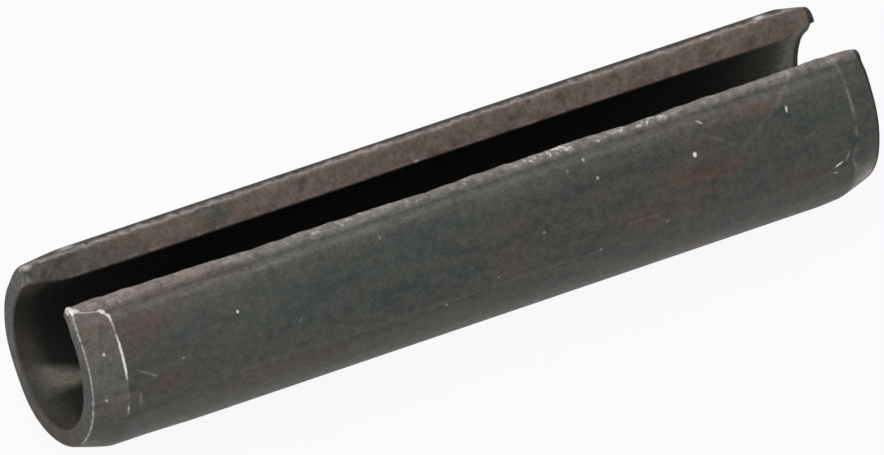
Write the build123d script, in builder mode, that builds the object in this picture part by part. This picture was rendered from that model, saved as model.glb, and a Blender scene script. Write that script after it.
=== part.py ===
"""Slotted spring-type straight pin, 6 x 30, heavy duty.

Spring-steel strip rolled into an open tube. The slot runs the full length, both ends
are swaged to a shallow lead-in, and the outer edges of the two lips are rolled over.

Frame: X along the axis, origin on the axis at mid-length, slot opening towards +Z.
The pin lies on its back, with the heavier closed side down.
"""
from build123d import *
from math import asin, cos, degrees, radians, sin
import os

os.makedirs("parts", exist_ok=True)

# Driving dimensions, in millimetres
length = 30.0            # end face to end face
free_diameter = 6.7      # outside, before it is driven into its 6 mm hole
strip_thickness = 1.05   # wall
slot_gap = 2.2           # between the two lips, across the bore
lead_in_length = 1.2     # at each end, along the axis
lead_in_depth = 0.36     # at each end, in radius
shoulder_radius = 1.6    # blend where a lead-in meets the body
lip_outer_radius = 0.3   # rolled outer corner along each lip
lip_inner_radius = 0.08  # inner corner along each lip
end_corner_radius = 0.1  # all round each end face

# Sizes that follow
outer_radius = free_diameter / 2
bore_radius = outer_radius - strip_thickness
end_radius = outer_radius - lead_in_depth
half_length = length / 2
shoulder = half_length - lead_in_length
slot_half_angle = degrees(asin(slot_gap / 2 / bore_radius))
wrap_angle = 360 - 2 * slot_half_angle

# The plane of the first lip's face: local x along the pin, local y straight out from the axis
lip_direction = Vector(0, sin(radians(slot_half_angle)), cos(radians(slot_half_angle)))
lip_plane = Plane(origin=(0, 0, 0), x_dir=(1, 0, 0), z_dir=Vector(1, 0, 0).cross(lip_direction))


def distance_from_axis(edge):
    """How far the middle of an edge lies from the pin's axis."""
    middle = edge @ 0.5
    return (middle.Y**2 + middle.Z**2) ** 0.5


def lip_edges(pin):
    """The edges along both lip faces, sorted from the bore outwards."""
    lip_faces = pin.faces().filter_by(GeomType.PLANE).filter_by(Axis.X, reverse=True)
    along_the_pin = lip_faces.edges().filter_by(lambda edge: abs(edge.tangent_at(0.5).X) > 0.5)
    return along_the_pin.sort_by(distance_from_axis)


with BuildPart() as spring_pin:
    # Length section of the wall, wrapped round the axis from lip to lip
    with BuildSketch(lip_plane) as wall:
        with BuildLine():
            Polyline(
                (-half_length, bore_radius),
                (half_length, bore_radius),
                (half_length, end_radius),
                (shoulder, outer_radius),
                (-shoulder, outer_radius),
                (-half_length, end_radius),
                close=True,
            )
        make_face()
        fillet(wall.vertices().group_by(Axis.Y)[-1], shoulder_radius)
    revolve(axis=-Axis.X, revolution_arc=wrap_angle)

    # The two innermost edges are the bore's. All further out are body, shoulder and lead-in.
    fillet(lip_edges(spring_pin)[2:], lip_outer_radius)
    fillet(lip_edges(spring_pin)[:2], lip_inner_radius)

    end_faces = spring_pin.faces().filter_by(GeomType.PLANE).filter_by(Axis.X)
    fillet(end_faces.edges(), end_corner_radius)

spring_pin.part.label = "spring_pin"
export_step(spring_pin.part, "parts/spring_pin.step")
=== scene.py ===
"""Dresses a slotted spring pin: rolled strip, oxide finish, worn edges, and a plain studio."""
import math
from functools import reduce

import bmesh
import bpy
import numpy as np
from mathutils import Matrix, Vector


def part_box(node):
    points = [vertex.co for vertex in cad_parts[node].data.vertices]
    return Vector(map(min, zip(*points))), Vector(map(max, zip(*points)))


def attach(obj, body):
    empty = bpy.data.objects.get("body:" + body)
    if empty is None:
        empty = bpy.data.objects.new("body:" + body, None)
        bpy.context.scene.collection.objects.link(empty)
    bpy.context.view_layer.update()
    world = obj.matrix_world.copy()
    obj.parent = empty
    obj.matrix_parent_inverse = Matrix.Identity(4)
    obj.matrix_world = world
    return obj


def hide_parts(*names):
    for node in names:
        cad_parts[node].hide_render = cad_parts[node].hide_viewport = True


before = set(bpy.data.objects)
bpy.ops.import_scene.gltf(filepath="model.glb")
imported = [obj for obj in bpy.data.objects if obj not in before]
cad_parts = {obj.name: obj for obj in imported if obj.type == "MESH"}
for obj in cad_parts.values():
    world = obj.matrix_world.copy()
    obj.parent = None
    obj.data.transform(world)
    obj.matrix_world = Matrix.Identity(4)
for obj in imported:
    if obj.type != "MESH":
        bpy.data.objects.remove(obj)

bl_info = {
    "name": "Slotted Spring Pin",
    "version": (1, 0, 0),
    "blender": (4, 5, 0),
    "location": "View3D > Sidebar > Spring Pin",
    "description": "Builds the looks of a slotted spring pin around its solid model",
    "category": "Add Mesh",
}

MM = 0.001
NODE = "spring_pin"
BODY = "root"
PIN_LOW, PIN_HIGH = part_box(NODE)


# -------------------- settings

def length_property(name, description, millimetres):
    """A length that a user sets in scene units, with its default given in millimetres."""
    return bpy.props.FloatProperty(
        name=name, description=description, default=millimetres * MM, min=0.0,
        precision=5, subtype="DISTANCE", unit="LENGTH")


def colour_property(name, description, colour):
    return bpy.props.FloatVectorProperty(
        name=name, description=description, default=colour, size=3, min=0.0, max=1.0,
        subtype="COLOR")


def factor_property(name, description, value):
    return bpy.props.FloatProperty(
        name=name, description=description, default=value, min=0.0, max=1.0, subtype="FACTOR")


class SpringPinSizes(bpy.types.PropertyGroup):
    """Sizes of the rolled strip. Near is the -X end, far the +X end."""

    length: length_property("Length", "End face to end face", (PIN_HIGH.x - PIN_LOW.x) / MM)
    diameter: length_property("Diameter", "Free outside diameter", (PIN_HIGH.y - PIN_LOW.y) / MM)
    thickness: length_property("Strip Thickness", "Wall of the rolled strip", 1.05)
    slot_gap: length_property("Slot Gap", "Between the two lips, across the bore", 2.2)
    near_lead_run: length_property("Near Lead-in Length", "Along the axis", 1.17)
    near_lead_drop: length_property("Near Lead-in Depth", "In radius, at its deepest", 0.35)
    far_lead_run: length_property("Far Lead-in Length", "Along the axis", 1.0)
    far_lead_drop: length_property("Far Lead-in Depth", "In radius, at its deepest", 0.33)
    shoulder_blend: length_property("Shoulder Blend", "Softness of each shoulder line", 0.06)
    lip_rounding: length_property("Lip Rounding", "Rolled outer corner of each lip", 0.32)
    bore_rounding: length_property("Bore Corner", "Inner corner of each lip", 0.09)
    near_rim: length_property("Near Rim Rounding", "All round the near end face", 0.07)
    far_rim: length_property("Far Rim Rounding", "All round the far end face", 0.04)


class SpringPinFinish(bpy.types.PropertyGroup):
    """Colours of the oxide finish, with the painted shade and painted light laid into it."""

    oxide: colour_property("Oxide", "Plain oxide on the outside", (0.073, 0.082, 0.070))
    blue_oxide: colour_property("Blue Oxide", "Cool temper patches", (0.051, 0.067, 0.065))
    brown_oxide: colour_property("Brown Oxide", "Warm temper patches", (0.112, 0.070, 0.060))
    worn_oxide: colour_property("Worn Oxide", "Rubbed thin along the near lip", (0.235, 0.225, 0.205))
    worn_brown: colour_property("Worn Brown", "Brown streaks in the rubbed oxide", (0.185, 0.130, 0.115))
    lip_oxide: colour_property("Lip Oxide", "Sheared faces along the slot", (0.225, 0.170, 0.145))
    lip_edge: colour_property("Lip Edge", "Burnished line along the far lip", (0.400, 0.340, 0.320))
    # Painted shade, laid in the near lip's groove, along the far lip's crest and on the far rim
    painted_shade: colour_property("Dark Oxide", "Thick scale in hollows and rims", (0.022, 0.021, 0.019))
    # Partly painted shade: the bore's scale is kept much darker than the outside oxide
    bore_scale_and_shade: colour_property("Bore Oxide", "Scale inside the bore", (0.011, 0.012, 0.010))
    # Olive film, and at the near mouth also a painted pool of light from the slot
    bore_film_and_light: colour_property("Bore Film", "Olive brown film at the mouths", (0.265, 0.250, 0.205))
    end_oxide: colour_property("End Oxide", "Sheared faces at the ends", (0.080, 0.076, 0.073))
    end_brown: colour_property("End Brown", "Lower part of the end faces", (0.058, 0.046, 0.040))
    steel: colour_property("Bare Steel", "Nicks and shoulders", (0.70, 0.68, 0.65))
    roughness: factor_property("Roughness", "Of plain oxide", 0.54)
    metallic: factor_property("Metallic", "Of plain oxide", 0.35)


class SpringPinStage(bpy.types.PropertyGroup):
    """The floor, the light and the camera."""

    floor_colour: colour_property("Floor", "Plain pale floor", (0.86, 0.86, 0.86))
    backdrop_share: factor_property("Backdrop Share", "How far the floor shows as plain white", 0.93)
    world_strength: factor_property("Sky Strength", "Even light from all round", 0.45)
    key_power: bpy.props.FloatProperty(
        name="Key Power", description="Large soft lamp", default=0.42, min=0.0, unit="POWER")
    fill_power: bpy.props.FloatProperty(
        name="Fill Power", description="Second soft lamp", default=0.05, min=0.0, unit="POWER")


# -------------------- the strip's form

NEAR_END, FAR_END = -1, 1
NEAR_LIP, FAR_LIP = -1, 1
ARC_POINTS = 150
LIP_CORNER_POINTS = 12
LIP_FACE_POINTS = 6
BORE_CORNER_POINTS = 8
LIP_POINTS = LIP_CORNER_POINTS + LIP_FACE_POINTS + BORE_CORNER_POINTS
ROUNDING_STEPS = 4
FACE_SHARES = (0.04, 0.35, 0.7, 1.0)   # of the way from an end face's edge to its middle line
END_STEP = 0.045
BODY_STEP = 0.2
END_ZONE = 1.9
LIP_CROWDING = 0.11     # how much closer the points of an arc lie near the lips

# Turns are degrees round from the slot's middle by the near side, and lengths are millimetres.
# The lead-ins are swaged unevenly: (turn, share of the full length or depth)
NEAR_RUNS = ((30.5, 0.05), (34, 0.25), (38, 0.85), (41, 1), (300, 1), (331, 1.35))
NEAR_DROPS = ((29, 0), (50, 1), (130, 1), (200, 0.8), (250, 0.92), (290, 0.88), (331, 0.36))
FAR_DROPS = ((29, 0.58), (70, 0.56), (100, 0.7), (146, 1.02), (260, 0.8), (331, 0.75))
LEAD_STRAIGHTNESS = 0.88
# How far each end stands out past a square cut: (turn, length outside, length at the bore)
NEAR_REACHES = ((30, 0, 0), (150, 0, 0), (200, 0.02, 0.03), (232, -0.03, -0.02), (262, 0, 0),
                (290, -0.01, 0), (305, -0.08, -0.02), (322, -0.08, 0), (331, -0.03, 0.03))
FAR_REACHES = ((31, 0.15, 0.05), (44, 0.05, 0.03), (60, 0.01, 0.02), (140, 0.05, 0.03),
               (296, 0.07, 0.13), (313, 0.11, 0.25), (331, 0.1, 0.18))
REACH_RUN = 0.9
# How far each mouth of the bore is opened out: (turn, length)
NEAR_FLARES = ((29, 0.34), (48, 0.12), (80, 0.04), (125, 0.05), (165, 0.17), (225, 0.13),
               (290, 0.09), (331, 0.22))
FAR_FLARES = ((29, 0.05), (290, 0.05), (308, 0.09), (331, 0.26))
NEAR_FLARE_RUN, FAR_FLARE_RUN = 1.7, 1
# The roll is a little out of round low down on its near side, and rises away from each end
BULGE_TURN, BULGE_WIDTH, BULGE_HEIGHT = 142, 20, 0.045
BULGE_NEAR_GAP, BULGE_FAR_GAP = (2.2, 4.6), (0.8, 2)
# A flat rolled beside the near lip, with a groove
FACET_START, FACET_STOP, FACET_DEPTH = 39, 46, 0.045
GROOVE_TURN, GROOVE_WIDTH, GROOVE_DEPTH = 38.5, 0.9, 0.014
# Where the near lip stands back: (place along, length, degrees)
NEAR_LIP_DIPS = ((-11, 1.5, 1.2), (-1.6, 1.4, 1.2), (6.5, 2.6, 1))
# Towards the near end the near lip stands in over the slot, in degrees, between these places
NEAR_LIP_CLOSING, CLOSING_PLACES = 2.2, (6.5, 11.5)
# The far lip is thicker at the bore, all along and more so in a stretch of the near half
LIP_BURR, LIP_BURR_MORE, BURR_TURNS = 0.03, 0.03, (322, 332)
BURR_RISE, BURR_FALL = (0, 3), (10.5, 13)
# The lips wander: (seed, lengths of the waves, their heights in degrees or as shares)
NEAR_LIP_WANDER = (11, (9, 3.7, 1.3, 0.55), (0.2, 0.14, 0.12, 0.12))
FAR_LIP_WANDER = (23, (11, 4.3, 1.7, 0.6), (0.25, 0.15, 0.1, 0.1))
BORE_WANDER_SHARE = 0.7
CORNER_SEED, CORNER_WAVES, CORNER_HEIGHTS = 5, (5, 1.1), (0.1, 0.08)
CORNER_SPREAD = 1.15    # how much farther a lip's rolled corner reaches round than down its face


def ease(value, low, high):
    """0 below low, 1 above high, and a smooth rise between them."""
    t = np.clip((value - low) / (high - low), 0.0, 1.0)
    return t * t * (3.0 - 2.0 * t)


def band(value, middle, width):
    """1 at the middle and falling away to either side."""
    return np.exp(-((value - middle) / width) ** 2)


def shaped(turn, stops):
    """A value that eases from stop to stop round the pin."""
    value = stops[0][1]
    for (low, before), (high, after) in zip(stops, stops[1:]):
        value = value + (after - before) * ease(turn, low, high)
    return value


def ripple(along, seed, lengths, heights):
    """A smooth wander along the pin: one sine for each length in millimetres."""
    rng = np.random.default_rng(seed)
    total = np.zeros_like(along)
    for wave, height in zip(lengths, heights):
        total += height * np.sin(2 * math.pi * (along / wave + rng.random()))
    return total


def lead_in(gap, run, drop, blend):
    """How far the outside stands in from its full radius, at a gap from the end face."""
    share = blend * np.logaddexp(0.0, (run - gap) / blend) / run
    return drop * (LEAD_STRAIGHTNESS * share + (1 - LEAD_STRAIGHTNESS) * share ** 2)


def corner_blend(start, corner, end, count):
    """Points of a round corner that leaves start towards corner and arrives at end."""
    weight = math.cos(math.radians(45))
    t = np.linspace(0.0, 1.0, count)[None, :, None]
    start, corner, end = (p[:, None, :] for p in (start, corner, end))
    a, b, c = (1 - t) ** 2, 2 * weight * t * (1 - t), t ** 2
    return (a * start + b * corner + c * end) / (a + b + c)


def polar(radius, angle):
    """(y, z) at an angle in degrees from straight up, positive towards +Y."""
    turn = np.radians(angle)
    return np.stack([radius * np.sin(turn), radius * np.cos(turn)], axis=-1)


class Strip:
    """The strip's cross-section at each station along the pin, in millimetres."""

    def __init__(self, sizes):
        self.half = sizes.length / MM / 2
        self.radius = sizes.diameter / MM / 2
        self.bore = self.radius - sizes.thickness / MM
        self.slot_angle = math.degrees(math.asin(sizes.slot_gap / MM / 2 / self.bore))
        self.near_lead = sizes.near_lead_run / MM, sizes.near_lead_drop / MM
        self.far_lead = sizes.far_lead_run / MM, sizes.far_lead_drop / MM
        self.blend = sizes.shoulder_blend / MM
        self.lip_rounding = sizes.lip_rounding / MM
        self.bore_rounding = sizes.bore_rounding / MM
        self.rims = {NEAR_END: sizes.near_rim / MM, FAR_END: sizes.far_rim / MM}

    def stations(self):
        """Places along the axis, close together at both ends."""
        end = np.arange(0.0, END_ZONE, END_STEP)
        inner = self.half - END_ZONE
        body = np.linspace(-inner, inner, round(2 * inner / BODY_STEP) + 1)
        near = -self.half + self.rims[NEAR_END] + end
        far = self.half - self.rims[FAR_END] - end[::-1]
        near = near[near < body[0] - 0.5 * END_STEP]
        far = far[far > body[-1] + 0.5 * END_STEP]
        return np.concatenate([near, body, far])

    def near_run(self, turn):
        """Length of the near lead-in: next to nothing at the near lip, and longest at the far lip."""
        return self.near_lead[0] * shaped(turn, NEAR_RUNS)

    def outside(self, along, angle):
        """The outer radius at a place along the pin and an angle from the slot's middle."""
        turn = np.mod(-angle, 360.0)
        near_drop = self.near_lead[1] * shaped(turn, NEAR_DROPS)
        cut = lead_in(along + self.half, self.near_run(turn), near_drop, self.blend)
        far_drop = self.far_lead[1] * shaped(turn, FAR_DROPS)
        cut = cut + lead_in(self.half - along, self.far_lead[0], far_drop, self.blend)
        cut = cut + FACET_DEPTH * (1 - ease(turn, FACET_START, FACET_STOP))
        cut = cut + GROOVE_DEPTH * band(turn, GROOVE_TURN, GROOVE_WIDTH)
        bulge = BULGE_HEIGHT * band(turn, BULGE_TURN, BULGE_WIDTH)
        bulge = bulge * ease(along + self.half, *BULGE_NEAR_GAP) * ease(self.half - along, *BULGE_FAR_GAP)
        return self.radius - cut + bulge

    def reach(self, points):
        """How far the material stands out past a square cut."""
        x, turn, depth = np.moveaxis(strip_place(self, points), -1, 0)
        total = 0.0
        for side, stops in ((NEAR_END, NEAR_REACHES), (FAR_END, FAR_REACHES)):
            outer = shaped(turn, [(place, out) for place, out, _ in stops])
            inner = shaped(turn, [(place, bore) for place, _, bore in stops])
            out = outer + (inner - outer) * np.clip(depth, 0, 1)
            total = total + side * out * ease(side * x, self.half - REACH_RUN, self.half)
        return total

    def inside(self, along, angle):
        """The bore's radius, with its mouths opened out unevenly and the far lip a little thicker."""
        turn = np.mod(-angle, 360.0)
        near = ease(-along, self.half - NEAR_FLARE_RUN, self.half) * shaped(turn, NEAR_FLARES)
        far = ease(along, self.half - FAR_FLARE_RUN, self.half) * shaped(turn, FAR_FLARES)
        burr = LIP_BURR + LIP_BURR_MORE * ease(-along, *BURR_RISE) * (1 - ease(-along, *BURR_FALL))
        return self.bore + near + far - burr * ease(turn, *BURR_TURNS)

    def lip_angles(self, along, side):
        """(angle at the outside, angle at the bore) of a slot face."""
        if side == FAR_LIP:
            wander = ripple(along, *FAR_LIP_WANDER)
            return self.slot_angle + wander, self.slot_angle + BORE_WANDER_SHARE * wander
        angle = self.slot_angle - NEAR_LIP_CLOSING * ease(-along, *CLOSING_PLACES)
        angle = angle + ripple(along, *NEAR_LIP_WANDER)
        for place, width, degrees in NEAR_LIP_DIPS:
            angle = angle + degrees * band(along, place, width)
        return -angle, -angle

    def lip(self, along, side):
        """One lip's outline at each station, from the outside round to the bore."""
        outer, inner = self.lip_angles(along, side)
        r_out = self.outside(along, outer)
        r_in = self.inside(along, inner)
        width = self.lip_rounding * (1 + ripple(along, CORNER_SEED + side, CORNER_WAVES, CORNER_HEIGHTS))
        corner_out, corner_in = polar(r_out, outer), polar(r_in, inner)
        face = corner_in - corner_out
        span = np.linalg.norm(face, axis=-1, keepdims=True)
        start_angle = outer + side * np.degrees(CORNER_SPREAD * width / r_out)
        start = polar(self.outside(along, start_angle), start_angle)
        top = corner_out + face * (width[:, None] / span)
        low = corner_in - face * (self.bore_rounding / span)
        stop_angle = inner + side * np.degrees(self.bore_rounding / r_in)
        stop = polar(self.inside(along, stop_angle), stop_angle)
        rolled = corner_blend(start, corner_out, top, LIP_CORNER_POINTS)
        steps = np.linspace(0, 1, LIP_FACE_POINTS + 2)[1:-1][None, :, None]
        flat = top[:, None, :] * (1 - steps) + low[:, None, :] * steps
        eased = corner_blend(low, corner_in, stop, BORE_CORNER_POINTS)
        return np.concatenate([rolled, flat, eased], axis=1), start_angle, stop_angle

    def arc(self, along, start, stop, radius_at):
        """Points between two angles, the long way round under the axis."""
        share = np.linspace(0.0, 1.0, ARC_POINTS + 2)[1:-1][None, :]
        share = share - LIP_CROWDING * np.sin(2 * math.pi * share)
        angle = start[:, None] * (1 - share) + stop[:, None] * share
        return polar(radius_at(along[:, None], angle), angle)

    def loops(self, along):
        """The closed outline at each station, from the middle of the near lip by the outside."""
        near, near_start, near_stop = self.lip(along, NEAR_LIP)
        far, far_start, far_stop = self.lip(along, FAR_LIP)
        outer = self.arc(along, near_start, far_start - 360.0, self.outside)
        inner = self.arc(along, far_stop - 360.0, near_stop, self.inside)
        outline = np.concatenate([outer, far, inner, near[:, ::-1]], axis=1)
        return np.roll(outline, LIP_POINTS // 2, axis=1)

    def lip_shares(self):
        """How far each point of an outline belongs to a slot face, from 0 to 1."""
        rise = np.linspace(0.0, 1.0, LIP_CORNER_POINTS)
        fall = np.linspace(1.0, 0.0, BORE_CORNER_POINTS)
        lip = np.concatenate([rise, np.ones(LIP_FACE_POINTS), fall])
        arc = np.zeros(ARC_POINTS)
        return np.roll(np.concatenate([arc, lip, arc, lip[::-1]]), LIP_POINTS // 2)

    def rings(self):
        """Every outline's points (x, y, z), and how far each outline is on an end face."""
        along = self.stations()
        loops = self.loops(along)
        body = [(x, loop, 0.0) for x, loop in zip(along, loops)]
        near, far = self.end_rings(NEAR_END), self.end_rings(FAR_END)
        found = near[::-1] + body + far
        points = np.array([np.column_stack([np.full(len(loop), x), loop]) for x, loop, _ in found])
        points[..., 0] += self.reach(points)
        return points, np.array([share for _, _, share in found])

    def end_rings(self, side):
        """The rounding at one end and the outlines that close its face, from the body outwards."""
        found = []
        for step in range(1, ROUNDING_STEPS + 1):
            turn = math.radians(90) * step / ROUNDING_STEPS
            x = side * (self.half - self.rims[side] * (1 - math.sin(turn)))
            loop = inset(self.loops(np.array([x]))[0], self.rims[side] * (1 - math.cos(turn)))
            found.append((x, loop, step / ROUNDING_STEPS))
        edge = found[-1][1]
        middle = (edge + edge[::-1]) / 2
        for share in FACE_SHARES:
            found.append((side * self.half, edge + (middle - edge) * share, 1.0))
        return found


def inset(loop, distance):
    """A closed outline moved inwards by a distance, along its own normals."""
    tangent = np.roll(loop, -1, axis=0) - np.roll(loop, 1, axis=0)
    normal = np.stack([-tangent[:, 1], tangent[:, 0]], axis=-1)
    normal /= np.linalg.norm(normal, axis=-1, keepdims=True)
    y, z = loop[:, 0], loop[:, 1]
    area = np.sum(y * np.roll(z, -1) - z * np.roll(y, -1))
    return loop + normal * distance * np.sign(area)


def tube_faces(rings, points):
    """Faces between neighbouring outlines. The first and last outlines are folded shut."""
    def index(ring, k):
        k %= points
        if ring in (0, rings - 1):
            k = min(k, points - 1 - k)
        return ring * points + k

    faces = []
    for ring in range(rings - 1):
        for k in range(points):
            corners = [index(ring, k), index(ring, k + 1), index(ring + 1, k + 1), index(ring + 1, k)]
            kept = [corner for n, corner in enumerate(corners) if corner != corners[n - 1]]
            if len(kept) > 2:
                faces.append(kept)
    return faces


# -------------------- where the finish is worn

# How brightly the near shoulder is rubbed: (turn, share)
SHOULDER_WEAR = ((29, 0.5), (34, 0.55), (37, 1), (42, 1), (46, 0.5), (52, 0.55), (60, 0.95),
                 (72, 1), (84, 0.35), (95, 0.35), (101, 0.7), (107, 0))
# The rubbed line is wider where the shoulder runs out at the near lip
SHOULDER_WIDTH, SHOULDER_WIDTH_MORE, SHOULDER_NARROWS = 0.05, 0.04, (34, 38)
# The near face's outer edge is rubbed too: its gap from the end, width and share, and where it stops
RIM_GAP, RIM_WIDTH, RIM_SHARE, RIM_FADES = 0.03, 0.045, 0.55, (120, 170)
# The near lip's tip is rubbed bright: gap and its width, turn and its width, depths where it fades
TIP_GAP, TIP_LENGTH, TIP_TURN, TIP_WIDTH, TIP_DEPTHS = 0.12, 0.11, 32, 1.8, (0.08, 0.2)
WORN_DEPTHS = (0.3, 0.55)     # shares of the wall between which the wear dies out


def strip_place(strip, points):
    """Millimetres along, degrees round from the slot's middle by the near side, share of the wall."""
    x, y, z = points[..., 0], points[..., 1], points[..., 2]
    turn = np.degrees(np.arctan2(-y, z)) % 360.0
    depth = (strip.radius - np.hypot(y, z)) / (strip.radius - strip.bore)
    return np.stack([x, turn, depth], axis=-1)


def edge_wear(strip, place):
    """How far the oxide is rubbed off the shoulders and the rims, from 0 to 1."""
    along, turn, depth = np.moveaxis(place, -1, 0)
    gap = along + strip.half
    width = SHOULDER_WIDTH + SHOULDER_WIDTH_MORE * (1 - ease(turn, *SHOULDER_NARROWS))
    shoulder = band(gap, strip.near_run(turn), width) * shaped(turn, SHOULDER_WEAR)
    rim = band(gap, RIM_GAP, RIM_WIDTH) * RIM_SHARE * (1 - ease(turn, *RIM_FADES))
    tip = band(gap, TIP_GAP, TIP_LENGTH) * band(turn, TIP_TURN, TIP_WIDTH)
    tip = tip * (1 - ease(depth, *TIP_DEPTHS))
    return np.clip((1 - ease(depth, *WORN_DEPTHS)) * (shoulder + rim + tip), 0, 1)


# -------------------- shader sockets

def socket_value(tree, socket, value):
    """Links a socket to another, or sets its own value."""
    if isinstance(value, Shade):
        tree.links.new(value.socket, socket)
    else:
        socket.default_value = value


def add_node(tree, kind, settings, inputs, output=0):
    """A new node: its settings first, then its sockets by name or number."""
    node = tree.nodes.new(kind)
    for name, value in settings.items():
        setattr(node, name, value)
    for key, value in inputs.items():
        socket_value(tree, node.inputs[key], value)
    return Shade(tree, node.outputs[output])


class Shade:
    """A socket. Arithmetic on it adds Math nodes to its tree."""

    def __init__(self, tree, socket):
        self.tree, self.socket = tree, socket

    def math(self, operation, *values):
        return add_node(self.tree, "ShaderNodeMath", {"operation": operation}, dict(enumerate(values)))

    def __add__(self, other):
        return self.math("ADD", self, other)

    __radd__ = __add__

    def __sub__(self, other):
        return self.math("SUBTRACT", self, other)

    def __rsub__(self, other):
        return self.math("SUBTRACT", other, self)

    def __mul__(self, other):
        return self.math("MULTIPLY", self, other)

    __rmul__ = __mul__

    def larger(self, other):
        return self.math("MAXIMUM", self, other)

    def smaller(self, other):
        return self.math("MINIMUM", self, other)

    def bell(self, middle, width, height=1.0):
        """A height at the middle, falling smoothly to nothing on either side."""
        away = (self - middle) * (1.0 / width)
        shape = self.math("EXPONENT", away * away * -1.0)
        return shape if height == 1.0 else shape * height

    def between(self, low, high, before, after):
        """One value below low, another above high, and a smooth step between them."""
        return add_node(self.tree, "ShaderNodeMapRange", {"interpolation_type": "SMOOTHSTEP"},
                        {0: self, 1: low, 2: high, 3: before, 4: after})

    def rise(self, low, high, height=1.0):
        """Nothing below low, and a height above high."""
        return self.between(low, high, 0.0, height)

    def fall(self, low, high, height=1.0):
        """A height below low, and nothing above high."""
        return self.between(low, high, height, 0.0)


class Surface:
    """A material and its nodes."""

    def __init__(self, name):
        self.material = bpy.data.materials.new(name)
        self.material.use_nodes = True
        self.tree = self.material.node_tree
        self.shader = self.tree.nodes["Principled BSDF"]

    def node(self, kind, settings, inputs, output=0):
        return add_node(self.tree, kind, settings, inputs, output)

    def attribute(self, name):
        """The three numbers of a vertex attribute."""
        vector = self.node("ShaderNodeAttribute", {"attribute_name": name}, {}, "Vector")
        return [self.node("ShaderNodeSeparateXYZ", {}, {0: vector}, k) for k in range(3)]

    def noise(self, vector, scale, detail, roughness=0.5):
        return self.node("ShaderNodeTexNoise", {},
                         {"Vector": vector, "Scale": scale, "Detail": detail, "Roughness": roughness})

    def blend(self, share, first, second, mode="MIX"):
        """A colour between two others."""
        first, second = (c if isinstance(c, Shade) else (*c, 1.0) for c in (first, second))
        return self.node("ShaderNodeMix", {"data_type": "RGBA", "blend_type": mode},
                         {0: share, 6: first, 7: second}, 2)

    def scaled(self, colour, amount):
        """A colour made lighter or darker."""
        grey = self.node("ShaderNodeCombineXYZ", {}, {0: amount, 1: amount, 2: amount})
        return self.blend(1.0, colour, grey, "MULTIPLY")

    def set(self, **inputs):
        """Sets the shader's own sockets; underscores stand for spaces."""
        for name, value in inputs.items():
            socket_value(self.tree, self.shader.inputs[name.replace("_", " ")], value)


def seen_directly(tree):
    """1 for rays from the camera, and for what mirrors and glass show."""
    rays = [add_node(tree, "ShaderNodeLightPath", {}, {}, name)
            for name in ("Is Camera Ray", "Is Glossy Ray", "Is Transmission Ray")]
    return rays[0].larger(rays[1]).larger(rays[2])


# -------------------- the oxide finish

# Nicks that show bare steel: (place along, turn, length, width, lean in degrees, strength)
NICKS = (
    (-9.46, 62.5, 0.06, 0.05, 90, 0.9), (-3.8, 48.3, 0.08, 0.035, 90, 0.3),
    (4.36, 56, 0.06, 0.05, 90, 0.55), (8, 61, 0.09, 0.075, 90, 1),
    (11.7, 53, 0.12, 0.045, 100, 0.75), (8.54, 44.3, 0.13, 0.045, 40, 0.5),
    (2, 76, 0.06, 0.05, 70, 0.28), (-7.3, 79.3, 0.08, 0.03, 130, 0.25),
    (-11.7, 78, 0.06, 0.05, 0, 0.3), (-14.4, 61.8, 0.06, 0.05, 90, 0.8),
    (-14.55, 91, 0.06, 0.05, 60, 0.55), (13.3, 96.3, 0.17, 0.045, 155, 0.8),
    (6.66, 95, 0.07, 0.04, 160, 0.25), (0.18, 94.7, 0.06, 0.04, 90, 0.25),
    (-1.8, 102, 0.06, 0.05, 90, 0.3), (4.1, 99.7, 0.06, 0.04, 90, 0.3),
    (13.2, 101.8, 0.1, 0.035, 10, 0.45), (13.64, 92.5, 0.2, 0.03, 115, 0.3),
    (-13.99, 37.6, 0.14, 0.07, 35, 1), (-13.85, 41, 0.1, 0.06, 60, 0.9),
    (4.1, 43.4, 0.06, 0.05, 90, 0.6), (4.9, 35.5, 0.07, 0.04, 30, 0.7),
    (3.4, 47, 0.05, 0.05, 0, 0.25),
)

# Flecks along the far lip: (place along, share of the wall, length, height as a share, strength)
FLECKS = (
    (-0.32, 0.945, 0.09, 0.05, 1), (13.25, 0.09, 0.22, 0.05, 0.9), (-13.25, 0.05, 0.3, 0.05, 0.55),
    (-14.85, 0.24, 0.14, 0.08, 0.65), (-14.8, 0.95, 0.06, 0.07, 0.7), (11.2, 0.16, 0.12, 0.04, 0.4),
    (-14.92, 0.6, 0.05, 0.1, 0.35),
)

# Scratches: (place along, turn) at both ends, width, strength
SCRATCHES = (
    ((12.3, 34.7), (11.34, 50.5), 0.06, 0.07), ((11.34, 50.5), (9.64, 67), 0.06, 0.03),
    ((8.4, 49.7), (9.64, 65.5), 0.06, 0.035), ((-13.43, 76), (-12.7, 84), 0.04, 0.22),
    ((-13.4, 90.5), (-13.36, 101), 0.05, 0.15), ((-11, 99.2), (4.3, 100.2), 0.05, 0.035),
    ((5.1, 88), (6.5, 88.8), 0.05, 0.06), ((-6, 90), (-5.2, 97), 0.04, 0.07),
)

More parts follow.
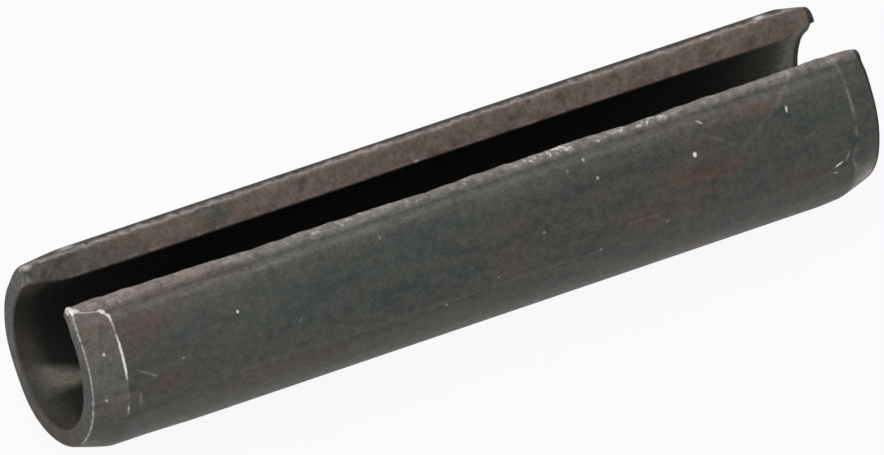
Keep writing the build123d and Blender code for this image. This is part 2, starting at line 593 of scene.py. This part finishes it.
# Tempered patches: (place along, turn, length, degrees high, warm or cool)
WARM, COOL = "warm", "cool"
PATCHES = (
    (-12.7, 53, 0.9, 7, WARM), (11.9, 97, 1.1, 8, WARM), (10.9, 46, 1.2, 4.5, WARM),
    (6, 88, 1.2, 8, WARM), (-8, 108, 3.2, 9, WARM), (-12.2, 90, 1.2, 7, WARM),
    (-11.2, 63, 0.9, 10, COOL), (-6.5, 68, 1.6, 12, COOL), (-2.6, 55, 1.2, 8, COOL),
    (9.6, 53, 1, 6, COOL), (-1.8, 84, 1.6, 8, COOL), (3, 62, 1.4, 9, COOL),
    (-14.4, 46, 0.35, 5, WARM), (-14.5, 99, 0.45, 9, WARM), (8.5, 74, 1.6, 5, WARM),
)


# From here to the class, a rise or a fall is (start, stop, height) and a bell (middle, width, height),
# with a height of 1 left out. Gaps are from an end, depths in shares of the wall, levels of a noise.

# Even noises, from broad to fine: (scale for each millimetre, detail, roughness)
NOISES = {"broad": (0.16, 3, 0.5), "other": (0.27, 3, 0.6), "cloud": (1.1, 4, 0.6),
          "mottle": (3.1, 3, 0.6), "grain": (8, 3, 0.6), "fine": (20, 2, 0.5)}
# Drawn noises: (scale along, scale round or through the wall, offset, detail, roughness)
STREAKS = (0.8, 0.7, 0, 3, 0.6)
SHEARED = (2.6, 1.9, 3, 3, 0.6)
VEIL = (0.4, 0.13, 7, 4, 0.55)

# The outside, with its temper colours
NEAR_SIDE_TURN, OUTER_DEPTH = (60, 70), (0.3, 0.5)
WARM_BROAD_LEVEL, COOL_OTHER_LEVEL = (0.52, 0.7, 0.3), (0.52, 0.68, 0.35)
PATCH_STRENGTH = 0.6
WARM_MOTTLE_LEVEL, WARM_VEIL_LEVEL = (0.46, 0.66, 0.08), (0.5, 0.66, 0.1)
WARM_UNDER_TURN, COOL_VEIL_LEVEL = (108, 140, 0.25), (0.48, 0.66, 0.25)
MOST_WARM, MOST_COOL = 0.85, 0.8

# The near lip's corner, rubbed thin, with a painted sheen that fades away from the lip and painted shade
# in its groove
RUBBED_EDGE_TURN, PAINTED_SHEEN_TURN = (31.5, 39.5), (34, 58, 0.36)
RUBBED_FLAT_TURN, HAZE_TURN = (42.6, 1.9, 0.22), (60, 110, 0.08)
NEAR_END_PLACE = (6, 12)
EDGE_SHARE, STREAK_CONTRAST, MOTTLE_CONTRAST = 0.85, 1.1, 1.6
FAR_CORNER_TURN, FAR_CORNER_LOSS, MOST_RUBBED = (33, 38), 0.55, 0.95
BROWN_LEVEL, BROWN_NEAR_END = (0.82, 1, 0.8), 0.16
BROWN_STREAK_PLACE, BROWN_STREAK_TURN = (-10.8, 1.3), (36.3, 1.6, 0.4)
SILVER_START, SILVER_LEVEL = 0.3, (0.55, 0.9)
GROOVE_SHADE_TURN = (38.6, 0.8, 0.5)

# The lead-ins
NEAR_RUN_TURN, NEAR_SHOULDER_STEP, NEAR_LEAD_SHARE = (31, 41), (-0.06, 0.04), 0.4
LESS_BELOW_LIP, LESS_LOW_DOWN = (40, 60, 0.12), (84, 118, 0.28)
FAR_SHOULDER_STEP, FAR_SOFT_STEP, FAR_LOW_TURN = (-0.05, 0.12), (-0.15, 0.4), (97, 122, 0.75)
FAR_LOW_END_TURN = (150, 180)
LINE_SETBACK, LINE_SAG_TURN, LINE_GAP = 0.05, (95, 6, 0.2), (0, 0.055)
LINE_START_TURN, LINE_STOP_TURN, LINE_LEVEL = (33, 36), (98, 120, 0.65), (0.42, 0.62)
LEAD_BROWN_TURN = (46, 7, 0.7)

# The slot's faces, with painted shade along the far lip's crest
FAR_LIP_TURN = (250, 260)
DULL_PATCHES, DULL_LEVEL, MOST_DULL = ((-8, 0.5, 0.7), (3.2, 0.5, 0.35)), (0.86, 1.02, 0.6), 0.9
GREY_NEAR_PLACES, GREY_FAR_PLACE = ((9, 11.5, 0.4), (12.5, 13.8, 0.45)), (11.5, 13.5, 0.2)
FACE_BROWN_LEVEL, FACE_SHARE = (0.45, 0.6, 0.4), (0.3, 0.8)
BURNISHED_DEPTH, BURNISHED_SHARE = (0.155, 0.05), (0.1, 0.4)
CREST_DEPTH, CREST_SHARE = (0.035, 0.085, 0.7), (0, 0.15)
INNER_DEPTH, INNER_SHARE, INNER_LEVEL = (0.935, 0.04), (0.1, 0.5), (0.92, 1.25, 0.55)

# The bore, kept dark as painted shade, with its film at both mouths. At the near one a painted pool of
# light from the slot lies on the film and ends along a slant
BORE_DEPTH, BORE_SHARE = (0.86, 0.97), (0.1, 0.5)
FILM_AND_LIGHT_START_GAP, FILM_AND_LIGHT_STOP_GAP, FILM_AND_LIGHT_START_TURN = (-1, 0.5), (1.7, 3), (200, 215)
LIGHT_EDGE_TURN, LIGHT_EDGE_SLANT = (231, 244), 10.4     # the slant is in degrees for each millimetre
WALL_GAP, WALL_TURN = (0, 0.6, 0.44), (238, 22)
LOW_GAP, LOW_TURN = (0.6, 1.2, 0.07), (196, 18)
FAR_MOUTH_GAPS = ((0, 1.9, 0.34), (0, 0.7, 0.9))

# The end faces, with painted shade on the far rim
BROWN_END_START, BROWN_END_STOP = (95, 135), (205, 245)
END_TONE, DARKER_TURN, LIGHTER_TURN = 1.15, (52, 70, 0.35), (100, 125, 0.25)
FLECKED_TURN, FLECKED_LEVEL = (285, 318, 0.3), (0.82, 1.05)
END_SHARE, FAR_RIM_SHADE_GAP = (0.3, 0.9), (0.03, 0.13, 0.85)

# Marks and bare steel
NICK_EDGE, SCRATCH_START, SCRATCH_STOP, SCRATCH_MOTTLE = (0.2, 1.6), (-0.1, 0.2), (-0.2, 0.1), 2
FLECK_TURN = (320, 326)
SPECK_PLACES = ((3.2, 1.7), (6.8, 1, 0.8), (-5, 1.8, 0.6))
SPECK_LEVEL, SPECK_EDGE, SPECK_DEPTH = (1.14, 1.34), (0.3, 0.75), (0.12, 0.24)
SPECK_START, SPECK_ZONE, SPECK_STRENGTH = (-11, -9, 0.14), 0.13, 0.45
RUBBED_LEVEL = (0.22, 0.8)
NEAR_END_LIFT = (0, 10, 0.1)
BUMP_STRENGTH, BUMP_HEIGHT, NICK_BUMP = 0.3, 0.02 * MM, 1.5
REFRACTION, SPECULAR = 1.45, 0.3
ROUGHNESS_CLOUD, ROUGHNESS_BORE, ROUGHNESS_BARE, METALLIC_BORE = 0.2, 0.2, 0.16, 0.3


class OxideFinish(Surface):
    """The one material of the pin."""

    def __init__(self, settings, strip):
        super().__init__("spring_steel_oxide")
        self.look = settings
        self.arc = math.radians(1) * strip.radius
        self.near_lead_run = strip.near_lead[0]
        place = self.node("ShaderNodeTexCoord", {}, {}, "Object")
        mm = self.node("ShaderNodeVectorMath", {"operation": "SCALE"}, {0: place, "Scale": 1 / MM})
        self.along, self.turn, self.depth = self.attribute("place")
        self.lip, self.end, self.wear = self.attribute("trim")
        self.nearward = 0 - self.along
        self.near_gap, self.far_gap = self.along + strip.half, strip.half - self.along
        self.past_far_shoulder = self.along - strip.half + strip.far_lead[0]
        for name, recipe in NOISES.items():
            setattr(self, name, self.noise(mm, *recipe))
        self.streaks = self.drawn_noise(self.turn, *STREAKS)
        self.sheared = self.drawn_noise(self.depth, *SHEARED)
        self.veil = self.drawn_noise(self.turn, *VEIL)
        self.near_side = self.turn.fall(*NEAR_SIDE_TURN)
        self.outer = self.depth.fall(*OUTER_DEPTH)
        self.make()

    def drawn_noise(self, across, along_scale, across_scale, offset, detail, roughness):
        """A noise in the strip's own directions, so that it can be drawn out along the pin."""
        sockets = {0: self.along * along_scale, 1: across * across_scale, 2: offset}
        vector = self.node("ShaderNodeCombineXYZ", {}, sockets)
        return self.noise(vector, 1.0, detail, roughness)

    def mix(self, base=0.0, **weights):
        """A base with this finish's noises added to it, each by its weight."""
        return sum((getattr(self, noise) * weight for noise, weight in weights.items()), base)

    def outside(self):
        """Oxide with cool and warm temper colours."""
        look = self.look
        temper = {WARM: self.broad.rise(*WARM_BROAD_LEVEL), COOL: self.other.rise(*COOL_OTHER_LEVEL)}
        for along, turn, long, high, kind in PATCHES:
            temper[kind] += self.along.bell(along, long) * self.turn.bell(turn, high) * PATCH_STRENGTH
        warm = temper[WARM] * (self.veil + self.cloud) + self.mottle.rise(*WARM_MOTTLE_LEVEL)
        warm = warm + self.turn.rise(*WARM_UNDER_TURN) + self.veil.rise(*WARM_VEIL_LEVEL)
        cool = temper[COOL] * self.mix(veil=1.0, cloud=0.8) + (1 - self.veil).rise(*COOL_VEIL_LEVEL)
        colour = self.blend(cool.smaller(MOST_COOL), look.oxide, look.blue_oxide)
        return self.blend(warm.smaller(MOST_WARM), colour, look.brown_oxide)

    def rubbed_lip(self, colour):
        """The near lip's corner, rubbed thin in streaks along the pin, with a painted sheen that fades
        away from the lip and painted shade in its groove.
        """
        look = self.look
        near_end = self.nearward.rise(*NEAR_END_PLACE)
        edge = self.turn.fall(*RUBBED_EDGE_TURN) * self.outer * self.near_side
        # soft is a painted sheen: the oxide is lighter towards the lip's edge
        soft = self.turn.fall(*PAINTED_SHEEN_TURN) * self.near_side
        flat = self.turn.bell(*RUBBED_FLAT_TURN) * (1 + near_end) * self.near_side
        share = edge * EDGE_SHARE + soft + flat + near_end * self.turn.fall(*HAZE_TURN)
        share = share + (self.streaks - 0.5) * STREAK_CONTRAST * (edge + soft)
        share = share + (self.mottle - 0.5) * MOTTLE_CONTRAST * edge
        far_corner = self.past_far_shoulder.rise(*FAR_SHOULDER_STEP) * self.turn.rise(*FAR_CORNER_TURN)
        share = (share * (1 - far_corner * FAR_CORNER_LOSS)).smaller(MOST_RUBBED)
        brown = self.mix(streaks=1.0, cloud=0.6) + near_end * BROWN_NEAR_END
        brown = brown + self.along.bell(*BROWN_STREAK_PLACE) * self.turn.bell(*BROWN_STREAK_TURN)
        worn = self.blend(brown.rise(*BROWN_LEVEL), look.worn_oxide, look.worn_brown)
        colour = self.blend(share.larger(0.0), colour, worn)
        silver = (edge - SILVER_START).larger(0.0)
        silver = silver * self.mix(streaks=1.0, mottle=0.5).rise(*SILVER_LEVEL)
        colour = self.blend(silver, colour, look.lip_edge)
        # Painted shade in the groove beside the lip
        groove = self.turn.bell(*GROOVE_SHADE_TURN) * self.near_side * self.cloud
        return self.blend(groove, colour, look.painted_shade), edge

    def lead_ins(self, colour):
        """The swaged ends: their oxide is thinner by the near lip and low down at the far end."""
        look = self.look
        run = self.turn.rise(*NEAR_RUN_TURN, self.near_lead_run)
        share = NEAR_LEAD_SHARE - self.turn.rise(*LESS_BELOW_LIP) - self.turn.rise(*LESS_LOW_DOWN)
        near = (self.near_gap - run).fall(*NEAR_SHOULDER_STEP) * share
        line = (self.past_far_shoulder - LINE_SETBACK + self.turn.bell(*LINE_SAG_TURN)).bell(*LINE_GAP)
        line = line * self.turn.rise(*LINE_START_TURN) * self.turn.fall(*LINE_STOP_TURN)
        line = line * (0.3 + self.cloud.rise(*LINE_LEVEL))
        thin = ((near + line) * self.mix(0.55, mottle=0.9)).smaller(1.0) * self.outer
        worn = self.blend(self.turn.bell(*LEAD_BROWN_TURN), look.worn_oxide, look.worn_brown)
        colour = self.blend(thin, colour, worn)
        low = self.past_far_shoulder.rise(*FAR_SOFT_STEP) * self.turn.rise(*FAR_LOW_TURN)
        low = low * self.turn.fall(*FAR_LOW_END_TURN) * self.mix(0.4, mottle=1.0) * self.outer
        return self.blend(low.smaller(1.0), colour, look.lip_edge)

    def slot_faces(self, colour):
        """The sheared faces, warmer and lighter, with a burnished line along the far lip's edge and
        painted shade along its crest.
        """
        look = self.look
        far = self.turn.rise(*FAR_LIP_TURN)
        dull = self.mix(cloud=1.0, sheared=0.5, mottle=0.3).rise(*DULL_LEVEL)
        dull = dull + sum(self.along.bell(*patch) for patch in DULL_PATCHES) * far
        dull = dull + sum(self.nearward.rise(*place) for place in GREY_NEAR_PLACES)
        dull = (dull + self.along.rise(*GREY_FAR_PLACE)).smaller(MOST_DULL)
        face = self.blend(dull, look.lip_oxide, look.oxide)
        face = self.blend(self.sheared.rise(*FACE_BROWN_LEVEL), face, look.worn_brown)
        face = self.scaled(face, self.mix(-0.22, sheared=0.9, cloud=1.1, mottle=0.5))
        colour = self.blend(self.lip.rise(*FACE_SHARE), colour, face)
        wander = self.mix(-0.19, streaks=0.16, sheared=0.22)
        line = (self.depth + wander).bell(*BURNISHED_DEPTH) * far * self.lip.rise(*BURNISHED_SHARE)
        colour = self.blend(line * self.mix(0.35, sheared=1.0), colour, look.lip_edge)
        # Painted shade along the far lip's crest
        crest_shade = (self.depth + wander * 0.5).fall(*CREST_DEPTH) * far * self.lip.rise(*CREST_SHARE)
        colour = self.blend(crest_shade, colour, look.painted_shade)
        inner = self.depth.bell(*INNER_DEPTH) * far * self.lip.rise(*INNER_SHARE)
        inner = inner * self.mix(sheared=1.0, streaks=1.0).rise(*INNER_LEVEL)
        return self.blend(inner, colour, look.lip_edge)

    def bore(self, colour):
        """Dark scale, kept darker than the outside as painted shade, with an olive brown film inside the
        mouths and a painted pool of light from the slot on the near one.
        """
        look = self.look
        inner = self.depth.rise(*BORE_DEPTH) * self.lip.fall(*BORE_SHARE) * (1 - self.end)
        # A painted pool of light from the slot on the film at the near mouth, its upper edge slanting
        # along the pin
        patch = self.near_gap.rise(*FILM_AND_LIGHT_START_GAP) * self.near_gap.fall(*FILM_AND_LIGHT_STOP_GAP)
        patch = patch * self.turn.rise(*FILM_AND_LIGHT_START_TURN)
        patch = patch * (self.turn + self.near_gap * LIGHT_EDGE_SLANT).fall(*LIGHT_EDGE_TURN)
        wall = self.near_gap.bell(*WALL_GAP) * self.turn.bell(*WALL_TURN)
        low = self.near_gap.bell(*LOW_GAP) * self.turn.bell(*LOW_TURN)
        mouth = sum(self.far_gap.bell(*gap) for gap in FAR_MOUTH_GAPS)
        film = patch * self.mix(0.35, mottle=1.0, cloud=0.5) + wall + low
        film = film + mouth * self.mix(0.2, cloud=1.0, mottle=0.6) + self.cloud * 0.01
        colour = self.blend(inner, colour, self.blend(film.smaller(1.0), look.bore_scale_and_shade, look.bore_film_and_light))
        return colour, inner

    def end_faces(self, colour):
        """Speckled grey, browner low down, with painted shade on the far rim."""
        look = self.look
        low = self.turn.rise(*BROWN_END_START) * self.turn.fall(*BROWN_END_STOP)
        speckled = self.blend(low, look.end_oxide, look.end_brown)
        tone = END_TONE - self.turn.rise(*DARKER_TURN) + self.turn.rise(*LIGHTER_TURN)
        speckled = self.scaled(speckled, tone * self.mix(-0.1, grain=0.9, mottle=0.9, cloud=0.4))
        flecked = self.turn.rise(*FLECKED_TURN) * self.mix(grain=1.0, mottle=0.7).rise(*FLECKED_LEVEL)
        speckled = self.blend(flecked, speckled, look.worn_oxide)
        colour = self.blend(self.end.rise(*END_SHARE), colour, speckled)
        # Painted shade on the far rim, which turns away from the light
        return self.blend(self.far_gap.fall(*FAR_RIM_SHADE_GAP), colour, look.painted_shade)

    def nick(self, along, turn, long, wide, lean, strength):
        """A small elongated mark: its strength on it and 0 off it."""
        c, s = math.cos(math.radians(lean)), math.sin(math.radians(lean))
        x, y = self.along - along, (self.turn - turn) * self.arc
        down, across = x * (c / long) + y * (s / long), y * (c / wide) - x * (s / wide)
        return (down * down + across * across).fall(*NICK_EDGE, strength)

    def scratch(self, start, stop, width, strength):
        """A straight faint scratch between two places."""
        dx, dy = stop[0] - start[0], (stop[1] - start[1]) * self.arc
        long = math.hypot(dx, dy)
        x, y = self.along - start[0], (self.turn - start[1]) * self.arc
        down, across = x * (dx / long) + y * (dy / long), y * (dx / long) - x * (dy / long)
        ends = down.rise(*SCRATCH_START) * (down - long).fall(*SCRATCH_STOP)
        return across.bell(0.0, width) * ends * (self.mottle * (SCRATCH_MOTTLE * strength))

    def fleck(self, along, depth, long, high, strength):
        """A small bright mark on the far lip's face."""
        return self.along.bell(along, long) * self.depth.bell(depth, high, strength)

    def marks(self):
        """Nicks on the outside with flecks on the far lip, and scratches on the outside."""
        nicks = reduce(Shade.larger, [self.nick(*mark) for mark in NICKS]) * self.outer
        flecks = reduce(Shade.larger, [self.fleck(*mark) for mark in FLECKS])
        scratches = reduce(Shade.larger, [self.scratch(*mark) for mark in SCRATCHES])
        return nicks.larger(flecks * self.turn.rise(*FLECK_TURN)), scratches * self.outer

    def specks(self, edge):
        """Bright specks in the near lip's rubbed edge, closer together in a few stretches."""
        zone = sum(self.along.bell(*place) for place in SPECK_PLACES)
        level = self.mix(mottle=0.7, grain=1.1) + zone * SPECK_ZONE + self.along.rise(*SPECK_START)
        specks = level.rise(*SPECK_LEVEL) * edge.rise(*SPECK_EDGE) * (1 + zone) * SPECK_STRENGTH
        return specks * self.depth.fall(*SPECK_DEPTH)

    def make(self):
        """Lays the parts of the finish over each other and links them to the shader."""
        look = self.look
        colour, edge = self.rubbed_lip(self.outside())
        colour, inner = self.bore(self.slot_faces(self.lead_ins(colour)))
        shade = self.mix(-0.80, cloud=0.5, veil=0.6, mottle=0.9, grain=1.0, fine=0.6)
        shade = shade + self.nearward.rise(*NEAR_END_LIFT)
        colour = self.scaled(self.end_faces(colour), shade)

        nicks, scratches = self.marks()
        rubbed = (self.wear * self.mix(0.35, grain=1.3)).rise(*RUBBED_LEVEL)
        bare = rubbed.larger(nicks).larger(self.specks(edge)).larger(scratches)
        height = self.mix(grain=0.6, fine=0.35, cloud=0.9, mottle=0.8) - nicks * NICK_BUMP
        bump = {"Strength": BUMP_STRENGTH, "Distance": BUMP_HEIGHT, "Height": height}
        roughness = look.roughness + (self.cloud - 0.5) * ROUGHNESS_CLOUD
        self.set(Base_Color=self.blend(bare, colour, look.steel),
                 Normal=self.node("ShaderNodeBump", {}, bump),
                 IOR=REFRACTION, Specular_IOR_Level=SPECULAR,
                 Roughness=roughness + inner * ROUGHNESS_BORE - bare * ROUGHNESS_BARE,
                 Metallic=look.metallic + bare * (1 - look.metallic) - inner * METALLIC_BORE)


# -------------------- operators

class SPRINGPIN_OT_pin(bpy.types.Operator):
    """Build the rolled strip with its swaged ends, rolled lips and oxide finish"""

    bl_idname = "spring_pin.pin"
    bl_label = "Pin"

    def execute(self, context):
        strip = Strip(context.scene.spring_pin_sizes)
        points, end = strip.rings()
        rings, count = points.shape[:2]
        mesh = bpy.data.meshes.new("slotted_pin")
        mesh.from_pydata((points * MM).reshape(-1, 3).tolist(), [], tube_faces(rings, count))
        lip = np.broadcast_to(strip.lip_shares(), (rings, count))
        ends = np.broadcast_to(end[:, None], (rings, count))
        place = strip_place(strip, points)
        trim = np.stack([lip, ends, edge_wear(strip, place)], axis=-1)
        for name, values in (("place", place), ("trim", trim)):
            data = mesh.attributes.new(name, "FLOAT_VECTOR", "POINT").data
            data.foreach_set("vector", values.astype(np.float32).ravel())
        tidy_mesh(mesh)
        pin = bpy.data.objects.new("slotted_pin", mesh)
        context.scene.collection.objects.link(pin)
        mesh.materials.append(OxideFinish(context.scene.spring_pin_finish, strip).material)
        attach(pin, BODY)
        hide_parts(NODE)
        return {"FINISHED"}


def tidy_mesh(mesh):
    """Drops loose points, turns every face outwards and shades it smooth."""
    work = bmesh.new()
    work.from_mesh(mesh)
    loose = [v for v in work.verts if not v.link_faces]
    bmesh.ops.delete(work, geom=loose, context="VERTS")
    bmesh.ops.recalc_face_normals(work, faces=work.faces)
    for face in work.faces:
        face.smooth = True
    work.to_mesh(mesh)
    work.free()
    mesh.validate()


# Camera: degrees round and up, degrees of roll, millimetres away, millimetres of lens and sensor
CAMERA_VIEW, CAMERA_ROLL = (-28.857, 32.470), -2.138
CAMERA_DISTANCE = 609.57
CAMERA_LENS = 748.44
SENSOR_WIDTH = 36.0
PICTURE_WIDTH = 884
FRAMING_SHIFT = (-1.525, -1.216)   # pixels
CLIP_START, CLIP_END = 0.01, 20.0  # metres

# Lamps: degrees round and up, metres away, metres across
KEY_LAMP = (-75.0, 50.0, 0.50, 0.30)
FILL_LAMP = (45.0, 35.0, 0.60, 0.35)

# Floor: metres from its middle to a side, its shade and mottling, its noise, its roughness
FLOOR_HALF = 1.5
FLOOR_SHADE, FLOOR_MOTTLE = 0.985, 0.03
FLOOR_NOISE_SCALE, FLOOR_NOISE_DETAIL = 40.0, 3.0
FLOOR_ROUGHNESS = 0.9
WHITE = (1.0, 1.0, 1.0, 1.0)


def view_axes(azimuth, elevation, roll=0.0):
    """(right, up, back) of a camera or lamp that looks at the middle of the pin."""
    a, e, r = (math.radians(x) for x in (azimuth, elevation, roll))
    back = Vector((math.sin(a) * math.cos(e), -math.cos(a) * math.cos(e), math.sin(e)))
    level = Vector((math.cos(a), math.sin(a), 0.0))
    rise = back.cross(level)
    right = math.cos(r) * level + math.sin(r) * rise
    up = math.cos(r) * rise - math.sin(r) * level
    return right, up, back


def placed(name, data, azimuth, elevation, distance, roll=0.0):
    """An object that looks at the middle of the pin from a distance in metres."""
    thing = bpy.data.objects.new(name, data)
    right, up, back = view_axes(azimuth, elevation, roll)
    turn = Matrix((right, up, back)).transposed().to_4x4()
    thing.matrix_world = Matrix.Translation(back * distance) @ turn
    bpy.context.scene.collection.objects.link(thing)
    return thing


def soft_lamp(name, azimuth, elevation, distance, size, power):
    lamp = bpy.data.lights.new(name, "AREA")
    lamp.size, lamp.energy = size, power
    placed(name, lamp, azimuth, elevation, distance)


class SPRINGPIN_OT_stage(bpy.types.Operator):
    """Set the pale floor, the soft lamps and the camera"""

    bl_idname = "spring_pin.stage"
    bl_label = "Stage"

    def execute(self, context):
        look = context.scene.spring_pin_stage
        self.floor(context, look)
        self.sky(context, look)
        soft_lamp("key_lamp", *KEY_LAMP, look.key_power)
        soft_lamp("fill_lamp", *FILL_LAMP, look.fill_power)
        self.camera(context)
        context.scene.view_settings.view_transform = "Standard"
        return {"FINISHED"}

    def floor(self, context, look):
        half, low = FLOOR_HALF, PIN_LOW.z
        mesh = bpy.data.meshes.new("floor")
        corners = [(-half, -half, low), (half, -half, low), (half, half, low), (-half, half, low)]
        mesh.from_pydata(corners, [], [(0, 1, 2, 3)])
        floor = bpy.data.objects.new("floor", mesh)
        context.scene.collection.objects.link(floor)
        pale = Surface("pale_floor")
        place = pale.node("ShaderNodeTexCoord", {}, {}, "Object")
        speck = pale.noise(place, FLOOR_NOISE_SCALE, FLOOR_NOISE_DETAIL)
        mottled = pale.scaled(look.floor_colour, FLOOR_SHADE + FLOOR_MOTTLE * speck)
        pale.set(Base_Color=mottled, Roughness=FLOOR_ROUGHNESS)
        share = seen_directly(pale.tree) * look.backdrop_share
        white = pale.node("ShaderNodeEmission", {}, {"Color": WHITE, "Strength": 1.0})
        lit = Shade(pale.tree, pale.shader.outputs[0])
        both = pale.node("ShaderNodeMixShader", {}, {0: share, 1: lit, 2: white})
        socket_value(pale.tree, pale.tree.nodes["Material Output"].inputs["Surface"], both)
        mesh.materials.append(pale.material)

    def sky(self, context, look):
        world = bpy.data.worlds.new("studio")
        context.scene.world = world
        world.use_nodes = True
        tree = world.node_tree
        strength = seen_directly(tree) * (1.0 - look.world_strength) + look.world_strength
        socket_value(tree, tree.nodes["Background"].inputs["Color"], WHITE)
        socket_value(tree, tree.nodes["Background"].inputs["Strength"], strength)

    def camera(self, context):
        lens = bpy.data.cameras.new("camera")
        lens.sensor_width, lens.lens = SENSOR_WIDTH, CAMERA_LENS
        lens.shift_x, lens.shift_y = (shift / PICTURE_WIDTH for shift in FRAMING_SHIFT)
        lens.clip_start, lens.clip_end = CLIP_START, CLIP_END
        distance = CAMERA_DISTANCE * MM
        context.scene.camera = placed("camera", lens, *CAMERA_VIEW, distance, CAMERA_ROLL)


class SPRINGPIN_PT_panel(bpy.types.Panel):
    """Sizes, finish and steps of the spring pin"""

    bl_idname = "SPRINGPIN_PT_panel"
    bl_label = "Spring Pin"
    bl_space_type = "VIEW_3D"
    bl_region_type = "UI"
    bl_category = "Spring Pin"

    def draw(self, context):
        for step in STEPS:
            self.layout.operator(step.bl_idname)
        for group in GROUPS:
            box = self.layout.box()
            settings = getattr(context.scene, group)
            for name in settings.__annotations__:
                box.prop(settings, name)


GROUPS = {
    "spring_pin_sizes": SpringPinSizes,
    "spring_pin_finish": SpringPinFinish,
    "spring_pin_stage": SpringPinStage,
}
STEPS = (SPRINGPIN_OT_pin, SPRINGPIN_OT_stage)


def register():
    for cls in (*GROUPS.values(), *STEPS, SPRINGPIN_PT_panel):
        bpy.utils.register_class(cls)
    for name, cls in GROUPS.items():
        setattr(bpy.types.Scene, name, bpy.props.PointerProperty(type=cls))


def unregister():
    for name in GROUPS:
        delattr(bpy.types.Scene, name)
    for cls in (SPRINGPIN_PT_panel, *reversed(STEPS), *GROUPS.values()):
        bpy.utils.unregister_class(cls)


def main():
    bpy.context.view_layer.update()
    register()
    bpy.ops.spring_pin.pin()
    bpy.ops.spring_pin.stage()


if __name__ == "__main__":
    main()
